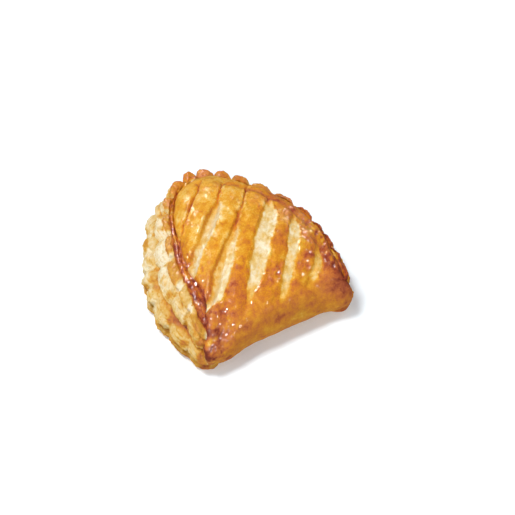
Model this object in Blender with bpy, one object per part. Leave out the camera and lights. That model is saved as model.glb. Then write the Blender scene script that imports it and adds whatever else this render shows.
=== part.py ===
"""A baked apple turnover in one solid.

A fluted disc of puff pastry is rolled out long, folded over its filling and sealed, so the piece has a
rounded fold along the front and a scalloped rim on the curved side, and its top is slashed on the diagonal.
X runs along the fold, Y from the fold to the tip of the rim and Z up. The origin is at the middle of the
bounding box, on the surface that the turnover rests on.

The body is a sphere primitive whose rings are carried to the rings of the pastry: the lower pole becomes
the middle of the flat base, the rings go out along the base, up the side, over the rim and into the groove
behind it, and then over the dome to the upper pole. The slashes are cut by tapered tubes that follow the dome.
"""

import bmesh
import bpy
import numpy as np

MM = 0.001

# Plan outline of the whole, clockwise from the middle of the fold, as points on a smooth closed curve.
OUTLINE = np.array([
    (5, -27), (-27, -29), (-49, -24), (-57, 8), (-52, 46), (-33, 80), (-8, 99),
    (14, 100), (38, 79), (54, 46), (63, 11), (60, -21), (37, -28),
]) * MM
CROWN = np.array([6, 36]) * MM  # where the dome is highest

# Heights.
DOME_HEIGHT = 43 * MM
RIM_HEIGHT = 22 * MM
RIM_RISE_LEFT = 10 * MM
RIM_RISE_RIGHT = 6 * MM
FOLD_HEIGHT = 34 * MM

# Rim. Places along it are measured along the outline from its tip: negative on the left, positive on the
# right. The flutes are narrowest at the tip and are drawn out towards the fold.
TIP_ANGLE = np.radians(84)  # the direction of the tip as seen from the crown
RIM_END = 138 * MM
RIM_FADE = 14 * MM
SHOULDER_FADE = 36 * MM  # how gradually the dome's steep side gives way to the gentle one above the fold
FLUTES = 5.95
FLUTE_STRETCH = 65 * MM
FLUTE_SHIFT = 0.0
FLUTE_DEPTH = 3.4 * MM
LIP_WIDTH = 6 * MM
TIP_LIP_WIDTH = 9 * MM
GROOVE_DEPTH = 2.0 * MM
LIP_INSET = 2 * MM
LEFT_FLARE = 13.5 * MM  # how much further the lower sheet stands out on the left

# Fold: the rounded front edge.
FOLD_ROUNDING = 16 * MM
FOLD_BELLY = 15 * MM

# Slashes: parallel cuts across the dome. Each row is its place across the cuts, and its two ends along them,
# from the middle of the bounding box.
SLASH_ANGLE = np.radians(50)
SLASHES = np.array([
    (-28, -12, 39), (-15, -34, 32), (1.5, -53, 37), (19, -47, 34), (38, -38, 24), (52.5, -24, 12),
]) * MM
SLASH_RADIUS = 4.0 * MM
SLASH_DEPTH = 2.2 * MM
SLASH_CLEARANCE = 0.6 * MM  # how far above the dome a cut's tube ends
SLASH_POINTS = 15

COLUMNS = 176
OUTLINE_POINTS = 4000
DOME_RINGS = (0.04, 0.09, 0.16, 0.25, 0.36, 0.5, 0.66, 0.83)


def ease(value, start, end):
    """0 at start, 1 at end, with a smooth step between them."""
    share = np.clip((value - start) / (end - start), 0, 1)
    return share * share * (3 - 2 * share)


def closed_curve(corners, count):
    """Points on the closed Catmull-Rom curve through the corners."""
    place = np.arange(count) / count * len(corners)
    first = place.astype(int)
    part = (place - first)[:, None]
    before, start, end, after = (corners[(first + step) % len(corners)] for step in (-1, 0, 1, 2))
    slope = (end - before) / 2
    bend = before - 2.5 * start + 2 * end - 0.5 * after
    twist = 1.5 * (start - end) + 0.5 * (after - before)
    return start + part * (slope + part * (bend + part * twist))


def outline():
    """Points round the plan outline, clockwise, and the distance of each along it from the tip."""
    points = closed_curve(OUTLINE, OUTLINE_POINTS)
    step = np.hypot(*(np.roll(points, -1, axis=0) - points).T)
    distance = np.concatenate([[0], np.cumsum(step)])
    bearing = np.arctan2(*(points - CROWN).T[::-1])
    tip = distance[np.argmin(np.abs(bearing - TIP_ANGLE))]
    return np.vstack([points, points[:1]]), distance - tip


def columns(points, distance):
    """The outline resampled to one point a column, twice as close on the rim as on the fold."""
    middle = (distance[1:] + distance[:-1]) / 2
    weight = np.diff(distance) * (2 - ease(np.abs(middle), RIM_END, RIM_END + RIM_FADE))
    gone = np.concatenate([[0], np.cumsum(weight)])
    at = np.interp(np.arange(COLUMNS) / COLUMNS * gone[-1], gone, distance)
    return np.stack([np.interp(at, distance, points[:, axis]) for axis in (0, 1)], axis=1), at


def flute(at):
    """How far the rim's edge is drawn in, from 0 at the top of a lobe to 1 in the notch between two."""
    phase = FLUTES * np.arcsinh(at / FLUTE_STRETCH) - FLUTE_SHIFT
    return (2 * np.abs(phase - np.round(phase))) ** 2.2


def rim_inset(at):
    """How far the glazed rim stands inside the outline: little on the right, far on the flared left."""
    flare = ease(-at, 15 * MM, 62 * MM) - 0.45 * ease(-at, 112 * MM, 145 * MM)
    return LIP_INSET + LEFT_FLARE * flare


def lip_width(at):
    """How wide the glazed rim is between its edge and the groove: widest at the tip."""
    return LIP_WIDTH + (TIP_LIP_WIDTH - LIP_WIDTH) * np.exp(-((at / (35 * MM)) ** 2))


def rim_height(at):
    """The height of the glazed rim, which climbs towards the fold on both sides."""
    left = RIM_RISE_LEFT * ease(-at, 10 * MM, 140 * MM)
    right = RIM_RISE_RIGHT * ease(at, 70 * MM, 140 * MM)
    return RIM_HEIGHT + left + right


def rim_profile(at):
    """Rings up the side of the rim, as pairs of the inset from the outline and the height."""
    inset = rim_inset(at)
    height = rim_height(at)
    notch = flute(at) * FLUTE_DEPTH
    lip = lip_width(at)
    return (
        (7 * MM + 0 * at, 0 * at),
        (3.2 * MM + 0.4 * notch, 0.05 * height),
        (0.8 * MM + 0.6 * notch, 0.17 * height),
        (1.0 * MM + 0.6 * notch, 0.33 * height),
        (3.2 * MM + 0.15 * inset, 0.39 * height),
        (0.6 * MM + 0.32 * inset + 0.7 * notch, 0.46 * height),
        (0.9 * MM + 0.38 * inset + 0.7 * notch, 0.62 * height),
        (3.0 * MM + 0.60 * inset, 0.69 * height),
        (0.6 * MM + 0.86 * inset + 0.8 * notch, 0.77 * height),
        (inset + notch, 0.93 * height),
        (inset + notch + 0.2 * lip, height),
        (inset + 0.5 * notch + 0.6 * lip, height + 0.4 * MM),
        (inset + lip, height - GROOVE_DEPTH),
    )


def fold_profile(rings):
    """Rings up the rounded fold, as pairs of inset and height: two quarter ellipses, belly to belly."""
    lean = np.radians(np.linspace(-70, 58, rings))
    rise = np.where(lean < 0, FOLD_BELLY, FOLD_HEIGHT - FOLD_BELLY)
    inset = FOLD_ROUNDING * (1 - np.cos(lean))
    height = FOLD_BELLY + rise * np.sin(lean)
    height[0] = 0
    return list(zip(inset, height))


def dome_profile(groove, foot, span, at):
    """Rings from the groove to the crown. They turn from the groove's own outline into circles, and the
    dome rises steeply from the rim but gently from the fold."""
    radius = span - groove
    steepness = 1 - ease(np.abs(at), RIM_END - SHOULDER_FADE, RIM_END + SHOULDER_FADE)
    for share in DOME_RINGS:
        steep = (1 - (1 - share) ** 2.4) ** 0.6
        gentle = 1 - (1 - share) ** 2.2
        lift = steepness * steep + (1 - steepness) * gentle
        reach = radius + share * (radius.mean() - radius)
        base = foot + share * (foot.mean() - foot)
        rise = lift + share * (lift.mean() - lift)
        yield span - (1 - share) * reach, base + rise * (DOME_HEIGHT - base)


def body_rings():
    """Every ring of the turnover between its two poles, as an array of ring, column and X, Y, Z, and the
    two poles, all centred on the bounding box."""
    edge, at = columns(*outline())
    inward = CROWN - edge
    span = np.hypot(*inward.T)
    inward = inward / span[:, None]
    on_rim = 1 - ease(np.abs(at), RIM_END, RIM_END + RIM_FADE)

    rim = rim_profile(at)
    fold = fold_profile(len(rim))
    side = [
        tuple(on_rim * of_rim + (1 - on_rim) * of_fold for of_rim, of_fold in zip(*pair))
        for pair in zip(rim, fold)
    ]
    rings = [(span * 0.66, 0 * at), (span * 0.33, 0 * at)] + side
    rings += dome_profile(*side[-1], span, at)
    body = np.array([np.column_stack([edge + inward * inset[:, None], height]) for inset, height in rings])
    poles = np.array([(*CROWN, 0), (*CROWN, DOME_HEIGHT)])
    lowest, highest = body.min(axis=(0, 1)), body.max(axis=(0, 1))
    centre = np.array([*(lowest + highest)[:2] / 2, 0])
    return body[:, ::-1] - centre, poles - centre


def make_material(name, colour, roughness):
    material = bpy.data.materials.new(name)
    material.use_nodes = True
    shader = material.node_tree.nodes["Principled BSDF"]
    shader.inputs["Base Color"].default_value = (*colour, 1)
    shader.inputs["Roughness"].default_value = roughness
    return material


def make_body(collection):
    """The turnover before it is slashed."""
    rings, (base, crown) = body_rings()
    mesh = bpy.data.meshes.new("turnover")
    shaper = bmesh.new()
    bmesh.ops.create_uvsphere(shaper, u_segments=COLUMNS, v_segments=len(rings) + 1, radius=1)
    for vertex in shaper.verts:
        ring = round(np.arccos(-vertex.co.z) / np.pi * (len(rings) + 1)) - 1
        column = round(np.arctan2(vertex.co.y, vertex.co.x) / (2 * np.pi) * COLUMNS) % COLUMNS
        if ring < 0:
            vertex.co = base
        elif ring == len(rings):
            vertex.co = crown
        else:
            vertex.co = rings[ring, column]
    shaper.to_mesh(mesh)
    shaper.free()
    body = bpy.data.objects.new("turnover", mesh)
    collection.objects.link(body)
    return body


def slash_path(body, offset, near, far):
    """Points of one cut's tube: it sinks into the dome between its ends and comes out of it at both."""
    share = np.linspace(0, 1, SLASH_POINTS)
    along = near + share * (far - near)
    x = offset * np.sin(SLASH_ANGLE) + along * np.cos(SLASH_ANGLE)
    y = -offset * np.cos(SLASH_ANGLE) + along * np.sin(SLASH_ANGLE)
    depth = SLASH_DEPTH * np.sin(np.pi * share) ** 0.5 - SLASH_CLEARANCE * (share * (share - 1) == 0)
    above = 2 * DOME_HEIGHT
    surface = np.array([body.ray_cast((*place, above), (0, 0, -1))[1].z for place in zip(x, y)])
    return np.column_stack([x, y, surface + SLASH_RADIUS - depth])


def make_cutter(name, path, collection):
    """A closed tube along the path, as a mesh that a Boolean can take."""
    curve = bpy.data.curves.new(name, "CURVE")
    curve.dimensions = "3D"
    curve.bevel_depth = SLASH_RADIUS
    curve.bevel_resolution = 2
    curve.use_fill_caps = True
    spline = curve.splines.new("POLY")
    spline.points.add(len(path) - 1)
    for point, place in zip(spline.points, path):
        point.co = (*place, 1)
    drawn = bpy.data.objects.new(name + "_curve", curve)
    collection.objects.link(drawn)
    graph = bpy.context.evaluated_depsgraph_get()
    mesh = bpy.data.meshes.new_from_object(drawn.evaluated_get(graph))
    bpy.data.objects.remove(drawn)
    shaper = bmesh.new()
    shaper.from_mesh(mesh)
    bmesh.ops.remove_doubles(shaper, verts=shaper.verts, dist=0.01 * MM)
    bmesh.ops.recalc_face_normals(shaper, faces=shaper.faces)
    shaper.to_mesh(mesh)
    shaper.free()
    cutter = bpy.data.objects.new(name, mesh)
    cutter.hide_render = True
    cutter.display_type = "WIRE"
    collection.objects.link(cutter)
    return cutter


def cut_slashes(body, collection):
    paths = [slash_path(body, *slash) for slash in SLASHES]
    for number, path in enumerate(paths):
        cut = body.modifiers.new(f"slash_{number}", "BOOLEAN")
        cut.operation = "DIFFERENCE"
        cut.object = make_cutter(f"slash_cutter_{number}", path, collection)


def main():
    for old in list(bpy.data.objects):
        bpy.data.objects.remove(old)
    pastry = bpy.data.collections.new("apple_turnover")
    cutters = bpy.data.collections.new("cutters")
    bpy.context.scene.collection.children.link(pastry)
    bpy.context.scene.collection.children.link(cutters)
    body = make_body(pastry)
    body.data.materials.append(make_material("baked_crust", (0.62, 0.32, 0.07), 0.35))
    body.data.shade_smooth()
    bpy.context.view_layer.update()
    cut_slashes(body, cutters)


main()
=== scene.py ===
"""Looks of a baked puff pastry turnover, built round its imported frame.

The crust is one closed sheet that runs from the flat base up the rounded fold and over the slashed dome. The
rim is a closed band with a glazed, lobed lip above three tiers of pale layered side, and it passes under the
foot of the dome. Lengths are in metres, X runs along the fold, Y from the fold to the tip of the rim and Z up.
"""

import bpy
import numpy as np
from mathutils import Matrix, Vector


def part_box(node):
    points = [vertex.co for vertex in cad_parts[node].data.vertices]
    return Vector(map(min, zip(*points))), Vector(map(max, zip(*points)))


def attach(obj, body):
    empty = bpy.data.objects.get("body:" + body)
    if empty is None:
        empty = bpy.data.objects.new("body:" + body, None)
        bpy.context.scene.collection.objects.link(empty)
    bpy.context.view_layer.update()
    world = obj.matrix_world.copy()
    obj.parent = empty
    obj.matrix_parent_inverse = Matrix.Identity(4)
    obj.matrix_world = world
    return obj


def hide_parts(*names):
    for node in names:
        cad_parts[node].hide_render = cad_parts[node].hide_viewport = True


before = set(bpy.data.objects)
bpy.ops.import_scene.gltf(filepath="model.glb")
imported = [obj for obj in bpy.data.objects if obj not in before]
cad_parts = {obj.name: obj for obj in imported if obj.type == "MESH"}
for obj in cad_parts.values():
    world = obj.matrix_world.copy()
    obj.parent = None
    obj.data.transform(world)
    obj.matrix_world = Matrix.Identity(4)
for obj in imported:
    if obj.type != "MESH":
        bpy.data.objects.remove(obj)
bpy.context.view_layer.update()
LOW, HIGH = (np.array(corner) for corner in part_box("turnover"))

MM = 0.001

# Plan outline of the whole, clockwise from the middle of the fold, from the middle of the box.
OUTLINE = np.array([
    (1.5, -63), (-20, -63), (-34, -65.5), (-49.5, -61), (-57.5, -41), (-61, -18), (-55.5, 10), (-37, 45),
    (-11.5, 63), (10.5, 63.5), (34.5, 43), (51.5, 10), (59, -25), (55.5, -56), (45, -64), (29, -62),
]) * MM
OUTLINE_POINTS = 4000
CROWN = np.array([2.5, 0]) * MM
TIP_ANGLE = np.radians(84)

# Heights.
DOME_HEIGHT = HIGH[2] - LOW[2]
FOLD_HEIGHT = 34 * MM
FOLD_BELLY = 15 * MM
FOLD_ROUNDING = 16 * MM
FOLD_DROPS = ((-176 * MM, 9 * MM, 14 * MM), (156 * MM, 5 * MM, 13 * MM))  # at its two ends: place, drop, width
FOLD_LEAN = (-80, 58)  # degrees: how the fold's skin leans where it leaves the base and where the dome begins

# The rim, measured along the outline from its tip, left negative. Each row is a place, how far the glazed lip
# stands inside the outline there, how wide the lip is, how high it stands and how deep the groove behind it is.
RIM_ROWS = np.array([
    (-200, 4, 6, 16, 2.0), (-188, 4, 6, 17, 2.0), (-179, 4.5, 7, 21, 2.0), (-169, 6.5, 16, 26.5, 2.4),
    (-157, 11, 19, 31, 2.6),
    (-138, 15.5, 15.5, 32, 2.6), (-121, 16.5, 13, 31, 2.4), (-100, 16.5, 10.5, 29.5, 2.4),
    (-78, 15.5, 8.5, 28, 2.4), (-55, 12.5, 8.5, 25.5, 2.4), (-32, 6.5, 8.5, 23.5, 2.2), (-15, 3, 9, 22.5, 2.0),
    (0, 2, 9, 22, 2.0), (20, 2, 8.5, 22, 2.0), (40, 2, 7, 22, 2.2), (60, 1.5, 5.5, 23, 1.8),
    (80, 1.5, 4.5, 24.5, 1.2), (100, 3.5, 4, 25, 0.8), (120, 5.5, 4, 26.5, 0.8), (138, 5.5, 4, 28, 0.8),
    (160, 4, 4, 26, 0.8), (200, 4, 4, 24, 0.8),
]) * MM
RIM_END_LEFT = 161 * MM
RIM_END_RIGHT = 138 * MM
RIM_FADE = 11 * MM
RIM_OVERLAP = 12 * MM  # how much further the band itself runs before it sinks into the fold
SHOULDER_FADE = 36 * MM
FLUTE_DEPTH = 3.4 * MM
NOTCHES = np.array([
    -205, -187, -170, -150, -131, -97, -70, -46, -31, -14.5, -4, 8.5, 21, 35.5, 53.5, 73, 91, 102, 118, 132, 150,
    180,
]) * MM  # between the lobes of the glazed lip, along the outline
LOWER_NOTCHES = np.array([
    -200, -176, -156, -137, -117, -104, -90.5, -77.5, -63, -43, -30, -20, -9, 3, 15, 28, 44, 62, 83, 108, 137, 165,
]) * MM  # between the lobes of the lower sheet

# Slashes. Places are along the cuts and across them, in millimetres, at an angle to X. Each row of a slash is
# its place along, its middle across, half its width, its depth and how bare of glaze it is.
SLASH_ANGLE = np.radians(50)
SLASHES = (
    ((-24, -29.5, 0.2, 0.0, 0), (-14, -28.3, 0.6, 0.9, 0), (-6, -27.6, 0.8, 1.3, 0), (5, -27.0, 1.0, 1.8, 0),
     (15, -26.9, 1.0, 1.9, 0), (25, -26.5, 0.9, 1.6, 0), (33, -26.5, 0.7, 1.2, 0), (40, -26.6, 0.2, 0.0, 0)),
    ((-44, -17.5, 0.6, 0.3, 0.2), (-37, -16.6, 2.6, 1.5, 0.8), (-31, -16.0, 3.8, 2.4, 1),
     (-25, -15.7, 4.0, 2.8, 1), (-19, -14.4, 3.6, 2.4, 1), (-15, -13.0, 2.8, 1.4, 0.6),
     (-12, -12.4, 3.8, 2.4, 0.9), (-4, -11.9, 4.2, 3.6, 1), (4, -11.5, 4.0, 3.8, 1), (9, -11.3, 3.2, 3.2, 0.9),
     (13, -10.9, 2.2, 2.4, 0.7), (18, -12.0, 0.9, 1.5, 0), (30, -12.6, 0.7, 1.2, 0), (39, -13.0, 0.2, 0.0, 0)),
    ((-62, -4.0, 0.4, 0.0, 0.3), (-56, -2.6, 1.6, 1.0, 0.9), (-51, -0.2, 3.4, 1.8, 1), (-47, 1.6, 4.6, 2.3, 1),
     (-42, 2.2, 5.2, 2.8, 1), (-36, 2.0, 5.4, 3.0, 1), (-30, 2.3, 5.4, 3.0, 1), (-24, 2.9, 4.9, 2.9, 0.9),
     (-16, 2.9, 4.0, 2.7, 0.8), (-9, 3.6, 3.0, 2.2, 0.7), (-3, 4.0, 1.9, 1.7, 0.5), (2, 3.6, 1.0, 1.5, 0),
     (9, 3.5, 0.8, 1.5, 0), (18, 3.9, 0.7, 1.4, 0), (32, 2.4, 0.7, 1.3, 0), (41, 2.2, 0.2, 0.0, 0)),
    ((-53, 22.0, 0.3, 0.0, 0), (-46, 21.9, 1.2, 0.2, 0.3), (-38, 21.7, 2.5, 0.5, 0.6), (-31.5, 22.2, 4.0, 0.8, 1),
     (-26, 22.3, 4.6, 0.9, 1), (-20, 21.5, 5.2, 1.0, 1), (-13, 21.7, 5.1, 1.1, 1), (-6, 21.0, 5.2, 1.1, 1),
     (1, 20.8, 5.1, 1.1, 1), (9, 21.3, 5.2, 1.1, 1), (17, 20.4, 4.4, 1.0, 1), (22, 19.0, 2.7, 1.0, 0.8),
     (26, 18.0, 1.2, 1.1, 0.3), (33, 17.2, 0.2, 0.0, 0)),
    ((-46, 39.6, 0.3, 0.0, 0), (-39, 39.8, 1.1, 0.2, 0.3), (-32, 40.4, 1.8, 0.4, 0.5), (-25, 40.0, 2.6, 0.6, 0.8),
     (-20, 40.0, 2.8, 0.7, 0.8), (-14, 39.3, 2.8, 0.8, 0.9), (-7, 39.6, 3.2, 0.9, 1), (0, 38.3, 3.5, 0.9, 1),
     (7, 37.5, 3.3, 0.8, 1), (12, 36.9, 2.9, 0.8, 0.9), (19, 35.0, 1.1, 0.8, 0.5), (25, 34.0, 0.3, 0.0, 0)),
    ((-34, 52.6, 0.3, 0.0, 0), (-28, 53.2, 0.6, 0.2, 0.2), (-21.5, 54.0, 1.5, 0.4, 0.35), (-15.5, 55.0, 2.4, 0.7, 0.6),
     (-11, 55.6, 2.7, 0.8, 0.7), (-5, 55.0, 2.4, 0.7, 0.65), (0, 53.4, 1.4, 0.4, 0.4), (6, 52.8, 0.3, 0.0, 0)),
)

# Meshes.
CRUST_GRID = 296  # points along each side of the crust's square grid
UNDERSIDE_RINGS = (0.97, 0.8, 0.5)
SIDE_SHARE = 0.36  # the share of the way from the base to the crown that the fold's rounding takes
RIM_COLUMNS = 640
RIM_ROWS_ROUND = 152

# Baking, from pale dough to nearly burnt, as display colours, under the glaze and bare of it.
BAKE_STOPS = (
    (0.00, (246, 230, 196)),
    (0.14, (235, 206, 150)),
    (0.28, (230, 184, 88)),
    (0.42, (220, 156, 32)),
    (0.56, (207, 128, 26)),
    (0.70, (190, 104, 42)),
    (0.84, (160, 70, 38)),
    (1.00, (116, 42, 26)),
)
BARE_STOPS = (
    (0.00, (236, 226, 200)),
    (0.14, (225, 203, 156)),
    (0.28, (216, 180, 106)),
    (0.42, (205, 151, 54)),
    (0.56, (193, 124, 48)),
    (0.70, (182, 107, 54)),
    (0.84, (148, 78, 46)),
    (1.00, (100, 46, 32)),
)


def ease(value, start, end):
    """0 at start, 1 at end, with a smooth step between them."""
    share = np.clip((value - start) / (end - start), 0, 1)
    return share * share * (3 - 2 * share)


def hill(value, middle, width):
    """A bell: 1 at the middle, falling off with the square of the distance over the width."""
    return np.exp(-(((value - middle) / width) ** 2))


def scatter(cell, seed):
    """Three numbers from -1 to 1 for each whole-numbered cell, the same in every run: the cell's X, Y and Z
    are mixed by multiplying and shifting their bits, and three runs of ten bits are taken from the mix."""
    x, y, z = np.moveaxis(cell.astype(np.int64).astype(np.uint32), -1, 0)
    mix = x * np.uint32(73856093) ^ y * np.uint32(19349663) ^ z * np.uint32(83492791)
    mix = mix ^ np.uint32(seed * 40503 + 977)
    for _ in range(2):
        mix = (mix ^ (mix >> np.uint32(15))) * np.uint32(2246822519)
    mix = mix ^ (mix >> np.uint32(13))
    return np.stack([(mix >> np.uint32(shift)) & np.uint32(1023) for shift in (0, 10, 20)], axis=-1) / 511.5 - 1


def ripple(points, size, seed):
    """Gradient noise, about -1 to 1: each corner of a lattice of the given size has a random slope, and the
    slopes' heights at a point are blended by a smooth step."""
    place = points / size
    corner = np.floor(place)
    part = place - corner
    fade = part ** 3 * (part * (6 * part - 15) + 10)
    total = 0
    for step in np.ndindex(2, 2, 2):
        weight = np.prod(np.where(step, fade, 1 - fade), axis=-1)
        total = total + weight * np.sum(scatter(corner + step, seed) * (part - step), axis=-1)
    return 1.5 * total


def rough(points, size, seed, octaves=3):
    """Ripples added up, each half the size and half the height of the one before."""
    return sum(ripple(points, size / 2 ** step, seed + step) / 2 ** step for step in range(octaves))


def cells(points, size, seed):
    """The distance to the nearest of many scattered spots, one to each lattice cell, in cells."""
    place = points / size
    home = np.floor(place)
    nearest = np.inf
    for step in np.ndindex(3, 3, 3):
        cell = home + step - 1
        spot = cell + 0.5 + 0.42 * scatter(cell, seed)
        nearest = np.minimum(nearest, np.sum((place - spot) ** 2, axis=-1))
    return np.sqrt(nearest)


def blisters(points, size, seed):
    """Round bumps, 1 on top and 0 between them: the height of a dome over each scattered spot."""
    return np.clip(1 - (cells(points, size, seed) / 0.62) ** 2, 0, 1)


def smooth_curve(corners, place, closed=False):
    """The Catmull-Rom curve through the corners, at places counted in corners."""
    count = len(corners)
    first = np.floor(place).astype(int)
    if not closed:
        first = np.clip(first, 0, count - 2)
    part = (place - first).reshape((-1,) + (1,) * (corners.ndim - 1))
    picks = [first + step for step in (-1, 0, 1, 2)]
    picks = [pick % count if closed else np.clip(pick, 0, count - 1) for pick in picks]
    before, start, end, after = (corners[pick] for pick in picks)
    slope = (end - before) / 2
    bend = before - 2.5 * start + 2 * end - 0.5 * after
    twist = 1.5 * (start - end) + 0.5 * (after - before)
    return start + part * (slope + part * (bend + part * twist))


def plan():
    """The plan outline as a smooth closed curve: its points, their distance along it from the tip, and their
    bearing from the crown."""
    points = smooth_curve(OUTLINE, np.arange(OUTLINE_POINTS) / OUTLINE_POINTS * len(OUTLINE), closed=True)
    step = np.hypot(*(np.roll(points, -1, axis=0) - points).T)
    distance = np.concatenate([[0], np.cumsum(step)[:-1]])
    bearing = np.arctan2(*(points - CROWN).T[::-1])
    tip = distance[np.argmin(np.abs(bearing - TIP_ANGLE))]
    return points, distance - tip, bearing


PLAN_POINTS, PLAN_AT, PLAN_BEARING = plan()


def notch(at, places=NOTCHES, power=2.4):
    """How far the edge is drawn in: 0 at the top of a lobe and 1 in the notches, as a power of the distance
    from the lobe's middle."""
    share = np.interp(at, places, np.arange(len(places))) % 1
    return np.abs(2 * share - 1) ** power


def rim_profile(at):
    """The lip's inset, width and height and the groove's depth: smooth curves through the rim's rows."""
    place = np.interp(at, RIM_ROWS[:, 0], np.arange(len(RIM_ROWS)))
    return np.moveaxis(smooth_curve(RIM_ROWS[:, 1:], place.ravel()).reshape(*np.shape(at), 4), -1, 0)


def rim_share(at):
    """1 along the rim and 0 along the fold."""
    end = np.where(at < 0, RIM_END_LEFT, RIM_END_RIGHT)
    return 1 - ease(np.abs(at), end, end + RIM_FADE)


def steepness(at):
    """1 where the dome's foot stands up steeply from the rim, 0 where it lies back above the fold."""
    return 1 - ease(np.abs(at), RIM_END_RIGHT - SHOULDER_FADE, RIM_END_RIGHT + SHOULDER_FADE)


def fold_top(at):
    """The height of the fold's rounding, which drops towards its two ends."""
    return FOLD_HEIGHT - sum(drop * hill(at, place, width) for place, drop, width in FOLD_DROPS)


def dome_foot(at):
    """Where the dome begins, as its inset from the outline and its height."""
    lean = np.radians(FOLD_LEAN[1])
    share = rim_share(at)
    lip_inset, width, lip_height, groove = rim_profile(at)
    inset = share * (lip_inset + width) + (1 - share) * FOLD_ROUNDING * (1 - np.cos(lean))
    fold = FOLD_BELLY + (fold_top(at) - FOLD_BELLY) * np.sin(lean)
    return inset, share * (lip_height - groove) + (1 - share) * fold


def surface_normals(points):
    """The unit normal at each point of a grid: the cross product of its two directions."""
    first = np.gradient(points, axis=0)
    second = np.gradient(points, axis=1)
    across = np.cross(first, second)
    return across / np.maximum(np.linalg.norm(across, axis=-1, keepdims=True), 1e-12)


def crust_form():
    """The crust before slashing, as a square grid of points, with the share of the way that each has gone up
    the fold's rounding and then up the dome. The square is carried to a disc by x = u sqrt(1 - v2 / 2) and
    y = v sqrt(1 - u2 / 2). The disc's rim is the base's edge and its middle is the crown. The fold is two
    quarter ellipses. The dome's height is a power of the share, and its plan turns from the outline into
    circles on the way to the crown."""
    side = np.linspace(-1, 1, CRUST_GRID)
    u, v = np.meshgrid(side, side, indexing="ij")
    x, y = u * np.sqrt(1 - v * v / 2), v * np.sqrt(1 - u * u / 2)
    climbed = 1 - np.hypot(x, y)
    bearing = np.arctan2(y, x)

    span_of = np.hypot(*(PLAN_POINTS - CROWN).T)
    span = np.interp(bearing, PLAN_BEARING, span_of, period=2 * np.pi)
    far = np.interp(bearing, PLAN_BEARING, np.abs(PLAN_AT), period=2 * np.pi)
    middle_of_fold = PLAN_BEARING[0]
    on_left = (bearing - TIP_ANGLE) % (2 * np.pi) < (middle_of_fold - TIP_ANGLE) % (2 * np.pi)
    at = np.where(on_left, -far, far)

    up_side = np.clip(climbed / SIDE_SHARE, 0, 1)
    up_dome = np.clip((climbed - SIDE_SHARE) / (1 - SIDE_SHARE), 0, 1)
    share = rim_share(at)
    foot_inset, foot_height = dome_foot(at)

    lean = np.radians(FOLD_LEAN[0] + up_side * (FOLD_LEAN[1] - FOLD_LEAN[0]))
    rise = np.where(lean < 0, FOLD_BELLY, fold_top(at) - FOLD_BELLY)
    fold_inset = FOLD_ROUNDING * (1 - np.cos(lean))
    fold_height = FOLD_BELLY + rise * np.sin(lean)
    lip_inset, width, lip_height, groove = rim_profile(at)
    hidden_inset = lip_inset + width + 2.5 * MM * (1 - up_side)
    hidden_height = up_side * (lip_height - groove)
    side_inset = share * hidden_inset + (1 - share) * fold_inset
    side_height = share * hidden_height + (1 - share) * fold_height

    radius = span - foot_inset
    plan_foot = dome_foot(PLAN_AT)
    mean_radius = (span_of - plan_foot[0]).mean()
    mean_foot = plan_foot[1].mean()
    mean_steep = steepness(PLAN_AT).mean()
    steep = (1 - (1 - up_dome) ** 2.4) ** 0.6
    gentle = 1 - (1 - up_dome) ** 2.2
    standing = steepness(at) + up_dome * (mean_steep - steepness(at))
    lift = standing * steep + (1 - standing) * gentle
    reach = radius + up_dome * (mean_radius - radius)
    base = foot_height + up_dome * (mean_foot - foot_height)
    dome_inset = span - (1 - up_dome) * reach
    dome_height = base + lift * (DOME_HEIGHT - base)

    inset = np.where(climbed < SIDE_SHARE, side_inset, dome_inset)
    height = np.where(climbed < SIDE_SHARE, side_height, dome_height)
    out = span - inset
    points = np.stack([CROWN[0] + out * np.cos(bearing), CROWN[1] + out * np.sin(bearing), height], axis=-1)
    return points, at, up_side, up_dome


def slash_places(points):
    """Distances along and across the slashes."""
    x, y = points[..., 0], points[..., 1]
    along = x * np.cos(SLASH_ANGLE) + y * np.sin(SLASH_ANGLE)
    across = x * np.sin(SLASH_ANGLE) - y * np.cos(SLASH_ANGLE)
    return along, across


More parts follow.
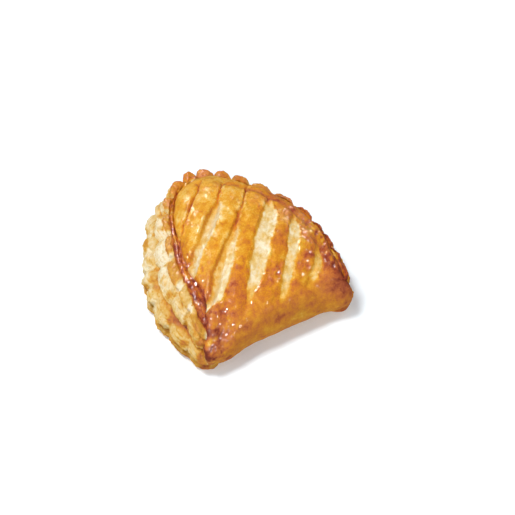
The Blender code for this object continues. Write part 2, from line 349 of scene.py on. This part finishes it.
def slashed(points):
    """What the slashes do at each point: how deep they cut, how bare they leave it, from 0 on the glaze to 1 on
    the floor, how far the nearest edge is, how high the torn edges stand, how far it lies from the left wall to
    the right and how pale the fringe is, mostly along the right. Across a cut, the left wall drops at once, and
    the right wall climbs slowly from the floor."""
    along, across = slash_places(points)
    across = across + 0.4 * MM * rough(points, 6 * MM, 11) + 0.5 * MM * rough(points, 2.6 * MM, 14, 2)
    depth_here = np.zeros(along.shape)
    open_here = np.zeros(along.shape)
    edge_here = np.full(along.shape, 99 * MM)
    ridge_here = np.zeros(along.shape)
    over_here = np.zeros(along.shape)
    fringe_here = np.zeros(along.shape)
    for rows in SLASHES:
        place, middle, half, depth, bare = (np.array(column) for column in zip(*rows))
        half_width = np.interp(along, place * MM, half * MM)
        deep = np.interp(along, place * MM, depth * MM)
        beyond = np.maximum(np.maximum(place[0] * MM - along, along - place[-1] * MM), 0)
        within = beyond == 0
        off = across - np.interp(along, place * MM, middle * MM)
        share = off / half_width
        wall = ease(share, -1.1, -0.65) * (1 - ease(share, -0.1, 1.12))
        depth_here = np.maximum(depth_here, wall * deep * within)
        edge = np.hypot(beyond, np.maximum(np.abs(off) - half_width, 0))
        opened = ease(share, -1.0, -0.6) * (1 - ease(share, 0.9, 1.15)) * ease(half_width, 0.6 * MM, 1.4 * MM) * within
        opened = opened * np.interp(along, place * MM, bare)
        over_here = np.where(opened > open_here, share, over_here)
        open_here = np.maximum(open_here, opened)
        edge_here = np.minimum(edge_here, edge)
        ridge = hill(np.abs(off) - half_width, 0.7 * MM, 0.8 * MM) * ease(deep, 0.2 * MM, 1.4 * MM)
        ridge_here = np.maximum(ridge_here, ridge * np.where(off > 0, 1.0, 0.55) * within)
        fringe = np.exp(-edge / (1.9 * MM)) * ease(half_width, 0.8 * MM, 2 * MM) * np.where(off > 0, 1.0, 0.35)
        fringe_here = np.maximum(fringe_here, fringe)
    return depth_here, open_here, edge_here, ridge_here, over_here, fringe_here


def crust_relief(points, at, up_side, up_dome):
    """How far the finished crust stands out from its form, and how it is baked, glazed and creased, with painted shade
    in the narrow cracks, down the slashes' steep left walls and on the left of their deep floors.
    """
    along, across = slash_places(points)
    depth, opened, edge, ridge, over, fringe = slashed(points)
    on_dome = ease(up_dome, 0.0, 0.06)
    share = rim_share(at)
    height = points[..., 2] / DOME_HEIGHT
    fold = (1 - share) * (1 - ease(up_dome, 0.02, 0.25))
    left_foot = ease(-at, 60 * MM, 110 * MM) * (1 - ease(-at, 176 * MM, 192 * MM)) * (1 - ease(up_dome, 0.05, 0.4))
    corner = hill(along, -61 * MM, 10 * MM) * hill(across, 7 * MM, 12 * MM)

    wrinkled = ease(across, 22 * MM, 40 * MM) * (1 - 0.9 * fold) + 0.45 * left_foot + corner
    wrinkled = wrinkled + 0.8 * hill(at, -170 * MM, 12 * MM) * (1 - ease(up_dome, 0.05, 0.3))
    wrinkled = np.clip(wrinkled + 0.9 * np.exp(-edge / (1.8 * MM)) * ease(ridge, 0.02, 0.3), 0, 1)
    wrinkled = wrinkled * (1 - 0.8 * opened)
    grain = np.stack([along / 3.4, across, points[..., 2]], axis=-1)
    fine_grain = np.stack([along / 5, across, points[..., 2]], axis=-1)
    creased = 0.5 - np.abs(ripple(grain, 2.6 * MM, 41) + 0.7 * ripple(grain, 1.6 * MM, 43))

    pillow = 1.3 * MM * (1 - np.exp(-edge / (3.0 * MM))) - 0.4 * MM
    torn = ridge * (0.5 * MM + 0.4 * MM * rough(points, 3 * MM, 21)) + 0.6 * MM * fringe * rough(points, 1.8 * MM, 23, 2)
    swell = 1.0 * MM * rough(points, 16 * MM, 31, 2)
    seam = hill(up_dome, 0.32 - 0.2 * ease(at, 50 * MM, 110 * MM), 0.05) * share * ease(at, 0, 15 * MM)
    patches = ease(rough(points, 14 * MM, 51, 2), -0.1, 0.5)
    bubble = 0.45 * MM * blisters(points, 3.4 * MM, 61) * patches * (1 - opened)
    pores = (0.14 + 0.28 * wrinkled) * MM * rough(points, 3.4 * MM, 71, 2)
    dimples = 0.30 * MM * ripple(points, 3.6 * MM, 73) * (1 - opened) * (1 - 0.6 * ease(along, 5 * MM, 20 * MM))
    fibres = 0.22 * MM * opened * rough(fine_grain, 1.7 * MM, 75, 2)
    crease = (0.16 + 0.80 * wrinkled) * MM * creased
    relief = on_dome * (pillow + torn - depth + crease + bubble + fibres + dimples - 0.8 * MM * seam) + swell + pores
    relief = relief * (1 - ease(share, 0.3, 1) * (1 - ease(up_dome, 0.0, 0.03)))
    left_knob = hill(at, -171 * MM, 9 * MM) * hill(height, 0.5, 0.26)
    right_knob = hill(at, 150 * MM, 12 * MM) * hill(height, 0.4, 0.3)
    relief = relief + (1.6 * left_knob + 1.2 * right_knob) * MM

    tone = 0.45 + 0.13 * rough(points, 10 * MM, 81) + 0.08 * rough(points, 3 * MM, 91)
    tone = tone + 0.12 * ease(rough(points, 5 * MM, 95, 2), 0.2, 0.6)
    tone = tone + 0.09 * ease(across, 0, 22 * MM) * (1 - 0.7 * ease(across, 36 * MM, 52 * MM)) * (1 - fold)
    tone = tone + (0.08 + 0.10 * (1 - fold)) * ease(-along, 5 * MM, 45 * MM)
    tone = tone - 0.05 * (1 - ease(across, -38 * MM, -12 * MM)) - 0.05 * hill(across, -10 * MM, 18 * MM)
    tone = tone - 0.18 * fringe + (0.2 - 0.1 * ease(at, 50 * MM, 80 * MM)) * seam
    tone = tone + 0.26 * hill(up_dome, 0.0, 0.05) * share * (1 - 0.5 * ease(at, 60 * MM, 90 * MM))
    tone = tone + 0.03 * share * ease(at, 15 * MM, 40 * MM) * (1 - ease(up_dome, 0.12, 0.4))
    right_crest = ease(at, 50 * MM, 110 * MM) * (1 - ease(up_dome, 0.03, 0.22)) * share
    tone = tone + right_crest * (0.04 + 0.30 * rough(grain, 1.8 * MM, 101, 2))
    tone = tone + fold * (0.05 + 0.08 * rough(points, 5 * MM, 111))
    tone = tone + wrinkled * (0.14 * rough(grain, 3 * MM, 105) - 0.10 * creased)
    tone = tone + (0.20 + 0.4 * rough(grain, 2.4 * MM, 107)) * left_knob + 0.16 * hill(at, -172 * MM, 10 * MM) * ease(height, 0.4, 0.7) * (1 - ease(up_dome, 0.02, 0.2))
    tone = tone + 0.36 * hill(at, 140 * MM, 16 * MM) * hill(height, 0.62, 0.28)
    # Painted shade: the floor of a deep slash is darker on its left, under the steep left wall.
    left_floor_shade = (1 - ease(over, -0.6, 0.35)) * ease(depth, 0.9 * MM, 2.2 * MM)
    pale = 0.13 + 0.14 * rough(points, 3 * MM, 121) + 0.10 * rough(fine_grain, 1.4 * MM, 125) + 0.17 * left_floor_shade
    pale = pale + (0.05 + 0.18 * rough(points, 7 * MM, 127, 2)) * ease(across, 9 * MM, 15 * MM)
    tone = tone + opened * (pale - tone)
    # Painted shade: darker where a cut goes down but stays closed, in the narrow cracks and down the steep left walls
    # of the slashes.
    tone = tone + 0.26 * (1 - opened) * ease(depth, 0.3 * MM, 1.2 * MM)

    glaze = (0.22 + 0.78 * np.maximum(wrinkled, fringe)) * (1 - 0.9 * opened)
    glaze = glaze * (1 - 0.5 * fold * (1 - 0.9 * corner)) * (1 - 0.7 * fold * (1 - ease(height, 0.6, 0.9)))
    back = ease(at, -50 * MM, -15 * MM) * share * (1 - ease(at, 65 * MM, 90 * MM))
    glaze = glaze * (1 - 0.8 * back * (1 - ease(up_dome, 0.15, 0.45)))
    glaze = np.maximum(glaze, 0.2 * seam)
    glaze = glaze * (1 - 0.5 * right_crest)
    glaze = glaze * (1 - 0.4 * ease(at, 112 * MM, 136 * MM) * (1 - ease(up_dome, 0.05, 0.3)))
    glaze = np.maximum(glaze, 0.15 * hill(at, 146 * MM, 16 * MM) * hill(height, 0.6, 0.3))
    glaze = np.maximum(glaze, 0.45 * left_knob)
    plain = np.maximum(opened, 0.5 * fold * (1 - ease(height, 0.6, 0.9)))
    return relief, tone, glaze, wrinkled, plain


def square_rim(count):
    """The numbers of the points round the edge of a square grid, counterclockwise."""
    number = np.arange(count * count).reshape(count, count)
    return np.concatenate([number[:-1, 0], number[-1, :-1], number[:0:-1, -1], number[0, :0:-1]])


def crust_mesh():
    """The crust as points, quads, triangles and its baking with painted shade, glaze and creases. The underside's
    rings draw in from the edge of the square grid to a pole in the middle of the base."""
    form, at, up_side, up_dome = crust_form()
    relief, *looks = crust_relief(form, at, up_side, up_dome)
    points = form + relief[..., None] * surface_normals(form)
    points[..., 2] = np.maximum(points[..., 2], 0.15 * MM)

    number = np.arange(CRUST_GRID ** 2).reshape(CRUST_GRID, CRUST_GRID)
    quads = [np.stack([number[:-1, :-1], number[1:, :-1], number[1:, 1:], number[:-1, 1:]], axis=-1).reshape(-1, 4)]
    points = points.reshape(-1, 3)
    loop = square_rim(CRUST_GRID)
    edge = points[loop]
    pole = np.array([*CROWN, 0.15 * MM])
    rings = [edge]
    for share in UNDERSIDE_RINGS:
        ring = pole + share * (edge - pole)
        ring[:, 2] = 0.15 * MM
        rings.append(ring)
    start = len(points)
    points = np.concatenate([points] + rings[1:] + [pole[None]])
    names = [loop] + [start + step * len(loop) + np.arange(len(loop)) for step in range(len(UNDERSIDE_RINGS))]
    for outer, inner in zip(names[:-1], names[1:]):
        quads.append(np.stack([outer, inner, np.roll(inner, -1), np.roll(outer, -1)], axis=-1))
    last = names[-1]
    triangles = np.stack([last, np.full(len(last), len(points) - 1), np.roll(last, -1)], axis=-1)

    under = len(points) - start
    looks = [np.append(values.reshape(-1), np.full(under, value)) for values, value in zip(looks, (0.6, 0, 0, 1))]
    return points, np.concatenate(quads), triangles, *looks


def rim_section(at):
    """Corners of the band's closed section, bottom edge first and then up the side, over the lip, down into the
    groove and back inside: their inset from the outline, height and baking, each an array of corner by place. The
    baking is darker in the two gaps between the tiers, partly from deeper browning and partly as painted shade."""
    inset, lip, height, groove = rim_profile(at)
    upper = notch(at) * FLUTE_DEPTH
    lower = notch(at, LOWER_NOTCHES, 1.8) * FLUTE_DEPTH * 0.95
    drop = 3.2 * MM * notch(at, power=4)
    face = FACE_SHARE + 0.12 * ease(at, -100 * MM, -60 * MM) - 0.12 * ease(-at, 130 * MM, 160 * MM)
    face = face + 0.28 * hill(at, 2 * MM, 42 * MM) + 0.15 * hill(at, -118 * MM, 30 * MM)
    face = face - 0.16 * notch(at, power=5)
    rest = 1 - face
    # The last column is the baking. The seventh and twelfth rows, the inner corners between the tiers, are darker:
    # partly deeper browning, partly painted shade in the gaps.
    corners = (
        (9.0 * MM + 0 * at, 0 * at, 0.62),
        (4.5 * MM + 0.4 * lower, 0 * at, 0.58),
        (2.4 * MM + 0.5 * lower, 0.04 * height, 0.48),
        (0.9 * MM + 0.6 * lower, 0.11 * height, 0.34),
        (0.9 * MM + 0.7 * lower, 0.19 * height, 0.28),
        (1.8 * MM + 0.7 * lower, 0.25 * height, 0.34),
        (3.2 * MM + 0.6 * lower, 0.28 * height, 0.52),
        (1.2 * MM + 0.03 * inset + 0.7 * lower, 0.32 * height, 0.30),
        (-0.8 * MM + 0.07 * inset + lower, 0.40 * height, 0.17),
        (-0.4 * MM + 0.14 * inset + lower, 0.50 * height, 0.15),
        (1.2 * MM + 0.27 * inset + 0.8 * lower, 0.59 * height, 0.22),
        (2.9 * MM + 0.40 * inset + 0.6 * upper, 0.63 * height, 0.38),
        (1.2 * MM + 0.50 * inset + 0.8 * upper, 0.68 * height, 0.22),
        (0.0 * MM + 0.62 * inset + 1.1 * upper, 0.76 * height, 0.12),
        (0.2 * MM + 0.75 * inset + 1.1 * upper, 0.85 * height - 0.3 * drop, 0.09),
        (1.8 * MM + 0.88 * inset + upper, 0.91 * height - 0.5 * drop, 0.14),
        (2.2 * MM + 0.97 * inset + 0.8 * upper, 0.935 * height - 0.7 * drop, 0.36),
        (inset + upper, 0.955 * height - drop, 0.50),
        (inset + upper + 0.06 * lip * face, height - drop, 0.52),
        (inset + 0.9 * upper + 0.3 * lip * face, height + 1.1 * MM - 0.9 * drop, 0.48),
        (inset + 0.6 * upper + 0.8 * lip * face, height + 1.2 * MM - 0.6 * drop, 0.52),
        (inset + 0.2 * upper + lip * face, height - 0.2 * drop, 0.70),
        (inset + lip * (face + 0.25 * rest), height - 0.9 * MM, 0.86),
        (inset + lip * (face + 0.55 * rest), height - 0.2 * MM, 0.74),
        (inset + lip * (face + 0.85 * rest), height - 0.7 * groove, 0.80),
        (inset + lip + 0.8 * MM, height - groove, 0.92),
        (inset + lip + 2.5 * MM, height - 5 * MM, 0.85),
        (inset + lip + 5.0 * MM, height - 9 * MM, 0.80),
        (inset + lip + 6.0 * MM, 0.3 * height, 0.80),
        (inset + lip + 5.0 * MM, 2 * MM + 0 * at, 0.70),
        (inset + lip + 3.0 * MM, 0.5 * MM + 0 * at, 0.62),
    )
    return (np.array([row[kind] + 0 * at for row in corners]) for kind in (0, 1, 2))


# Corners of the section.
SIDE_START = 2
LIP_EDGE = 17
FACE_END = 21
RIM_HIDDEN = 26  # from here on the section lies inside the dome
FACE_SHARE = 0.48  # of the lip's width that is the lobes' own face, the rest being the pressed, glossy band


def rim_mesh():
    """The band as points, quads, triangles, baking with painted shade, glaze and creases: the section carried along
    the outline, with a fan over each end, where it shrinks into the fold. The side's relief is thin leaves, each
    standing out further towards its top, and creases that run up the lobes. The lip's is bubbles on the lobes and
    ridges along the pressed band."""
    at = np.linspace(-RIM_END_LEFT - RIM_OVERLAP - RIM_FADE, RIM_END_RIGHT + RIM_OVERLAP + RIM_FADE, RIM_COLUMNS)
    sections = list(rim_section(at))
    count = len(sections[0])
    seen_rows = RIM_ROWS_ROUND - 12
    place = np.concatenate([
        np.linspace(0, RIM_HIDDEN, seen_rows, endpoint=False),
        np.linspace(RIM_HIDDEN, count, 12, endpoint=False),
    ])
    inset, height, tone = (smooth_curve(corners, place, closed=True) for corners in sections)
    end = np.where(at < 0, RIM_END_LEFT, RIM_END_RIGHT) + RIM_OVERLAP
    gone = ease(np.abs(at), end, end + RIM_FADE)
    inset = inset + gone * 12 * MM
    height = height * (1 - 0.3 * gone)

    order = np.argsort(PLAN_AT)
    edge = np.stack([np.interp(at, PLAN_AT[order], PLAN_POINTS[order, axis]) for axis in (0, 1)], axis=-1)
    inward = CROWN - edge
    inward = inward / np.hypot(*inward.T)[:, None]
    flat = edge + inset[..., None] * inward
    form = np.concatenate([flat, height[..., None]], axis=-1)

    row = place[:, None] + 0 * at
    across_at = at + 0 * row
    side = ease(row, SIDE_START, SIDE_START + 1) * (1 - ease(row, LIP_EDGE - 1.2, LIP_EDGE - 0.4))
    top = ease(row, LIP_EDGE - 0.6, LIP_EDGE + 0.4)
    face = top * (1 - ease(row, FACE_END - 0.8, FACE_END + 0.2))
    band = ease(row, FACE_END - 0.8, FACE_END + 0.2) * (1 - ease(row, RIM_HIDDEN - 1, RIM_HIDDEN))

    warp = 2.6 * MM * rough(np.stack([across_at, height, 0 * row], axis=-1), 16 * MM, 131, 2)
    level = (height + warp) / (1.4 * MM)
    number = np.floor(level)
    climb = level - number
    stand = 0.5 + 0.5 * ripple(np.stack([across_at, 5 * MM * number, 0 * row], axis=-1), 9 * MM, 141)
    leaf = climb ** 2 * (1 - ease(climb, 0.88, 1.0)) * stand
    up_lobe = np.stack([across_at, 0.25 * inset, 0.25 * height], axis=-1)
    radial = 0.5 - np.abs(ripple(up_lobe, 2.6 * MM, 145) + 0.5 * ripple(up_lobe, 1.3 * MM, 147))
    puff = 0.9 * MM * rough(form, 7 * MM, 151, 2)
    along_band = np.stack([across_at / 6, inset, 0 * row], axis=-1)
    streak = 0.5 - np.abs(ripple(along_band, 1.7 * MM, 155) + 0.5 * ripple(along_band, 0.9 * MM, 157))
    bubble = 0.7 * MM * blisters(form, 2.6 * MM, 161) + 0.45 * MM * rough(form, 2.6 * MM, 171, 2)
    relief = side * (1.5 * MM * leaf + puff + 0.7 * MM * radial + 0.35 * MM * rough(form, 2.2 * MM, 159, 2))
    low_left = ease(-at, 90 * MM, 125 * MM) + 0 * row
    lumps = 1.1 * MM * low_left * blisters(form, 4 * MM, 177)
    relief = relief + face * bubble + band * (0.8 * MM * streak + 1.2 * MM * rough(form, 6 * MM, 175, 2) + lumps)
    relief = relief + (side + face) * 0.2 * MM * rough(form, 1.5 * MM, 181)
    points = form - relief[..., None] * surface_normals(form)
    points[..., 2] = np.maximum(points[..., 2], 0)

    tip = hill(at, 2 * MM, 42 * MM)
    right = ease(at, 30 * MM, 110 * MM)
    cut = notch(at, power=4) + 0 * row
    hollow = ease(rough(form, 9 * MM, 185, 2), 0.0, 0.6)
    tone = tone + 0.07 * rough(form, 4 * MM, 191) + 0.06 * rough(form, 1.6 * MM, 201)
    # Painted shade: the climb term darkens each leaf along its foot, in the crevice between it and the leaf below.
    tone = tone + side * (0.32 * hollow - 0.04 + 0.16 * (1 - ease(climb, 0.0, 0.3)) - 0.06 * leaf + 0.10 * radial)
    tone = tone + side * (0.12 * ease(-at, 95 * MM, 140 * MM) - 0.06 * hill(at, -70 * MM, 35 * MM))
    bare = face * ease(cut, 0.12, 0.5) * (1 - ease(row, LIP_EDGE + 1.5, FACE_END)) * (1 - tip) * (1 - right)
    tone = tone + bare * (0.05 - tone)
    tone = tone + side * (0.26 * tip + 0.42 * right) + face * (0.12 * tip + 0.40 * right - 0.06 * bubble / MM)
    tone = tone - face * 0.16 * ease(-at, 125 * MM, 145 * MM)
    tone = tone + band * (0.16 * rough(along_band, 1.6 * MM, 205, 2) - 0.14 * streak - 0.22 * tip)
    tone = tone + band * (0.30 * rough(form, 8 * MM, 207, 2) - 0.05 * lumps / MM - 0.14 * ease(at, -72 * MM, -48 * MM))
    tone = tone + 0.16 * hill(at, -RIM_END_LEFT, 9 * MM) * ease(row, 8, 16) + 0.04 * ease(-at, 160 * MM, 172 * MM)
    glaze = face * (1 - bare) * (0.32 - 0.22 * right) + band * (1 - 0.7 * right) + 0.06 * side
    glaze = np.maximum(glaze, side * 0.3 * tip)
    wrinkled = np.clip(band + face * np.maximum(tip, right), 0, 1)

    number = np.arange(len(place) * len(at)).reshape(len(place), len(at))
    turned = np.roll(number, -1, axis=0)
    quads = np.stack([number[:, :-1], turned[:, :-1], turned[:, 1:], number[:, 1:]], axis=-1).reshape(-1, 4)
    flat_points = points.reshape(-1, 3)
    first, last = len(flat_points), len(flat_points) + 1
    ends = np.stack([points[:, 0].mean(axis=0), points[:, -1].mean(axis=0)])
    triangles = np.concatenate([
        np.stack([turned[:, 0], number[:, 0], np.full(len(place), first)], axis=-1),
        np.stack([number[:, -1], turned[:, -1], np.full(len(place), last)], axis=-1),
    ])
    plain = np.clip(side * (1 - 0.6 * np.maximum(tip, right)) + bare + face * (1 - np.maximum(tip, right)), 0, 1)
    looks = [
        np.append(values.reshape(-1), (value, value))
        for values, value in ((tone, 0.6), (glaze, 0), (wrinkled, 0), (plain, 1))
    ]
    return np.concatenate([flat_points, ends]), quads, triangles, *looks


def linear(colour):
    """A display colour from 0 to 255 as linear light."""
    share = np.array(colour) / 255
    return np.where(share < 0.04045, share / 12.92, ((share + 0.055) / 1.055) ** 2.4)


def baked_finish():
    """Baked pastry: the baking attribute, which also carries painted shade in the cracks and crevices, and two finer
    mottles pick a colour between dough and burnt sugar, from the glazed shades or the bare ones. The glaze attribute
    lays a thin egg wash over it, and the creases attribute roughens the wash."""
    material = bpy.data.materials.new("baked_pastry")
    material.use_nodes = True
    nodes, links = material.node_tree.nodes, material.node_tree.links
    shader = nodes["Principled BSDF"]
    place = nodes.new("ShaderNodeTexCoord").outputs["Object"]

    def attribute(name):
        node = nodes.new("ShaderNodeAttribute")
        node.attribute_name = name
        return node.outputs["Fac"]

    def mottle(size, detail, roughness=0.55):
        node = nodes.new("ShaderNodeTexNoise")
        node.inputs["Scale"].default_value = 1 / size
        node.inputs["Detail"].default_value = detail
        node.inputs["Roughness"].default_value = roughness
        links.new(place, node.inputs["Vector"])
        return node.outputs["Fac"]

    def maths(kind, *values):
        node = nodes.new("ShaderNodeMath")
        node.operation = kind
        for socket, value in zip(node.inputs, values):
            if hasattr(value, "is_output"):
                links.new(value, socket)
            else:
                socket.default_value = value
        return node.outputs[0]

    def shades(tone, colours):
        ramp = nodes.new("ShaderNodeValToRGB")
        stops = ramp.color_ramp.elements
        while len(stops) < len(colours):
            stops.new(0.5)
        for stop, (position, colour) in zip(stops, colours):
            stop.position = position
        for stop, (position, colour) in zip(stops, colours):
            stop.color = (*linear(colour), 1)
        links.new(tone, ramp.inputs["Fac"])
        return ramp.outputs["Color"]

    bake_and_shade, glaze, creases, bare = (attribute(name) for name in ("bake_and_shade", "glaze", "creases", "bare"))
    speckle = maths("ADD", mottle(0.9 * MM, 4), maths("MULTIPLY", mottle(3.5 * MM, 3), 0.7))
    spread = maths("MULTIPLY_ADD", bare, -0.22, 0.46)
    tone = maths("MULTIPLY_ADD", maths("SUBTRACT", speckle, 0.85), spread, bake_and_shade)
    blend = nodes.new("ShaderNodeMix")
    blend.data_type = "RGBA"
    links.new(bare, blend.inputs["Factor"])
    links.new(shades(tone, BAKE_STOPS), blend.inputs["A"])
    links.new(shades(tone, BARE_STOPS), blend.inputs["B"])
    links.new(blend.outputs["Result"], shader.inputs["Base Color"])

    links.new(glaze, shader.inputs["Coat Weight"])
    shader.inputs["Roughness"].default_value = 0.6
    shader.inputs["Coat Roughness"].default_value = 0.06
    shader.inputs["Coat IOR"].default_value = 1.5
    shader.inputs["Specular IOR Level"].default_value = 0.06
    shader.inputs["Subsurface Weight"].default_value = 0.08
    shader.inputs["Subsurface Radius"].default_value = (1.0, 0.55, 0.25)
    shader.inputs["Subsurface Scale"].default_value = 0.8 * MM

    def bump(height, distance, strength):
        node = nodes.new("ShaderNodeBump")
        node.inputs["Distance"].default_value = distance
        links.new(height, node.inputs["Height"])
        links.new(strength, node.inputs["Strength"])
        return node.outputs["Normal"]

    grain = maths("ADD", mottle(0.7 * MM, 3), mottle(2.2 * MM, 2))
    links.new(bump(grain, 0.3 * MM, maths("MULTIPLY_ADD", glaze, -0.3, 0.8)), shader.inputs["Normal"])
    wash = bump(mottle(2.0 * MM, 1), 0.4 * MM, maths("MULTIPLY_ADD", creases, 0.35, 0.08))
    links.new(wash, shader.inputs["Coat Normal"])
    return material


def make_piece(name, finish, points, quads, triangles, *looks):
    """A mesh object with its baking and painted shade, glaze, creases and bareness on its points, riding on the pastry
    and standing for it."""
    mesh = bpy.data.meshes.new(name)
    mesh.vertices.add(len(points))
    mesh.vertices.foreach_set("co", points.astype(np.float32).ravel())
    corners = np.concatenate([quads.ravel(), triangles.ravel()]).astype(np.int32)
    mesh.loops.add(len(corners))
    mesh.loops.foreach_set("vertex_index", corners)
    starts = np.concatenate([4 * np.arange(len(quads)), 4 * len(quads) + 3 * np.arange(len(triangles))])
    mesh.polygons.add(len(starts))
    mesh.polygons.foreach_set("loop_start", starts.astype(np.int32))
    mesh.update(calc_edges=True)
    for attribute, values in zip(("bake_and_shade", "glaze", "creases", "bare"), looks):
        layer = mesh.attributes.new(attribute, "FLOAT", "POINT")
        layer.data.foreach_set("value", np.clip(values, 0, 1).astype(np.float32))
    mesh.shade_smooth()
    mesh.materials.append(finish)
    piece = bpy.data.objects.new(name, mesh)
    bpy.context.scene.collection.objects.link(piece)
    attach(piece, "root")
    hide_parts("turnover")
    return piece


# The camera: its direction, its distance and what it looks at.
CAMERA_AZIMUTH = np.radians(-27)
CAMERA_ELEVATION = np.radians(55)
CAMERA_DISTANCE = 0.74
CAMERA_LENS = 85
CAMERA_HEIGHT = 18 * MM  # of the point on the pastry's axis that the framing is measured from
CAMERA_OFF = (16.6 * MM, -5.5 * MM)  # how far right of and above that point the view's middle is


def make_camera():
    turn, lift = CAMERA_AZIMUTH, CAMERA_ELEVATION
    right = np.array([np.cos(turn), np.sin(turn), 0])
    up = np.array([-np.sin(turn) * np.sin(lift), np.cos(turn) * np.sin(lift), np.cos(lift)])
    back = np.array([np.sin(turn) * np.cos(lift), -np.cos(turn) * np.cos(lift), np.sin(lift)])
    middle = np.array([*(LOW + HIGH)[:2] / 2, LOW[2] + CAMERA_HEIGHT])
    place = middle + CAMERA_OFF[0] * right + CAMERA_OFF[1] * up + CAMERA_DISTANCE * back
    data = bpy.data.cameras.new("camera")
    data.lens = CAMERA_LENS
    data.clip_start = 0.01
    camera = bpy.data.objects.new("camera", data)
    camera.matrix_world = Matrix([(*row, spot) for row, spot in zip(np.stack([right, up, back], 1), place)] + [(0, 0, 0, 1)])
    bpy.context.scene.collection.objects.link(camera)
    bpy.context.scene.camera = camera


def make_lamp(name, place, size, power, lights=True, shines=True):
    """A square lamp that faces the middle of the pastry. It lights the surfaces, shines in the glaze, or both."""
    data = bpy.data.lights.new(name, "AREA")
    data.size = size
    data.energy = power
    lamp = bpy.data.objects.new(name, data)
    lamp.visible_diffuse = lights
    lamp.visible_glossy = shines
    lamp.location = place
    back = np.array(place) - [0, 0, 0.02]
    back = back / np.linalg.norm(back)
    side = np.cross([0, 1, 0], back)
    side = side / np.linalg.norm(side)
    lamp.matrix_world = Matrix([
        (*row, spot) for row, spot in zip(np.stack([side, np.cross(back, side), back], 1), place)
    ] + [(0, 0, 0, 1)])
    bpy.context.scene.collection.objects.link(lamp)


def make_studio():
    """A pale floor, a dim even sky that looks white, four soft lamps and seven small ones for the glints.
    The floor glows more away from the pastry, and it doesn't show in the glaze."""
    mesh = bpy.data.meshes.new("floor")
    reach = 3.0
    mesh.from_pydata([(-reach, -reach, 0), (reach, -reach, 0), (reach, reach, 0), (-reach, reach, 0)], [], [(0, 1, 2, 3)])
    floor = bpy.data.objects.new("floor", mesh)
    floor.location.z = -0.2 * MM
    bpy.context.scene.collection.objects.link(floor)
    paint = bpy.data.materials.new("white_floor")
    paint.use_nodes = True
    nodes, links = paint.node_tree.nodes, paint.node_tree.links
    shader = nodes["Principled BSDF"]
    shader.inputs["Base Color"].default_value = (0.79, 0.86, 0.91, 1)
    shader.inputs["Roughness"].default_value = 0.9
    shader.inputs["Specular IOR Level"].default_value = 0.0
    shader.inputs["Emission Color"].default_value = (1, 1, 1, 1)
    spread = nodes.new("ShaderNodeVectorMath")
    spread.operation = "LENGTH"
    links.new(nodes.new("ShaderNodeTexCoord").outputs["Object"], spread.inputs[0])
    glow = nodes.new("ShaderNodeMapRange")
    glow.interpolation_type = "SMOOTHSTEP"
    glow.inputs["From Min"].default_value = 0.1
    glow.inputs["From Max"].default_value = 0.9
    glow.inputs["To Min"].default_value = 0.18
    glow.inputs["To Max"].default_value = 1.0
    links.new(spread.outputs["Value"], glow.inputs["Value"])
    links.new(glow.outputs["Result"], shader.inputs["Emission Strength"])
    floor.data.materials.append(paint)
    floor.visible_glossy = False

    world = bpy.data.worlds.new("studio")
    bpy.context.scene.world = world
    world.use_nodes = True
    nodes, links = world.node_tree.nodes, world.node_tree.links
    lit = nodes["Background"]
    lit.inputs["Color"].default_value = (1, 1, 1, 1)
    lit.inputs["Strength"].default_value = 0.10
    seen = nodes.new("ShaderNodeBackground")
    seen.inputs["Color"].default_value = (1, 1, 1, 1)
    seen.inputs["Strength"].default_value = 1.0
    mix = nodes.new("ShaderNodeMixShader")
    links.new(nodes.new("ShaderNodeLightPath").outputs["Is Camera Ray"], mix.inputs["Fac"])
    links.new(lit.outputs[0], mix.inputs[1])
    links.new(seen.outputs[0], mix.inputs[2])
    links.new(mix.outputs[0], nodes["World Output"].inputs["Surface"])

    make_lamp("key", (-0.30, 0.15, 1.08), 0.28, 10.2, shines=False)
    make_lamp("key_spark", (-0.30, 0.15, 1.08), 0.28, 11, lights=False)
    make_lamp("left", (-1.00, -0.20, 0.70), 0.6, 3.2)
    make_lamp("front", (0.15, -1.10, 0.75), 0.9, 5.0, shines=False)
    make_lamp("right", (0.90, 0.25, 0.60), 0.5, 2.0, shines=False)
    make_lamp("back_spark", (-0.16, 0.92, 0.66), 0.30, 13, lights=False)
    make_lamp("low_back_spark", (-0.20, 1.02, 0.42), 0.12, 3, lights=False)
    make_lamp("crown_spark", (0.00, 0.55, 0.90), 0.06, 1.2, lights=False)
    make_lamp("right_spark", (0.62, 0.85, 0.42), 0.08, 1.5, lights=False)
    make_lamp("side_spark", (0.85, 0.50, 0.38), 0.08, 1.5, lights=False)
    make_lamp("top_spark", (-0.32, -0.62, 0.78), 0.14, 9, lights=False)
    make_lamp("front_spark", (0.20, -0.75, 0.62), 0.14, 6, lights=False)
    make_lamp("left_spark", (-0.85, 0.30, 0.75), 0.14, 9, lights=False)
    bpy.context.scene.view_settings.view_transform = "Standard"


make_camera()
make_studio()
pastry = baked_finish()
make_piece("crust", pastry, *crust_mesh())
make_piece("layered_rim", pastry, *rim_mesh())
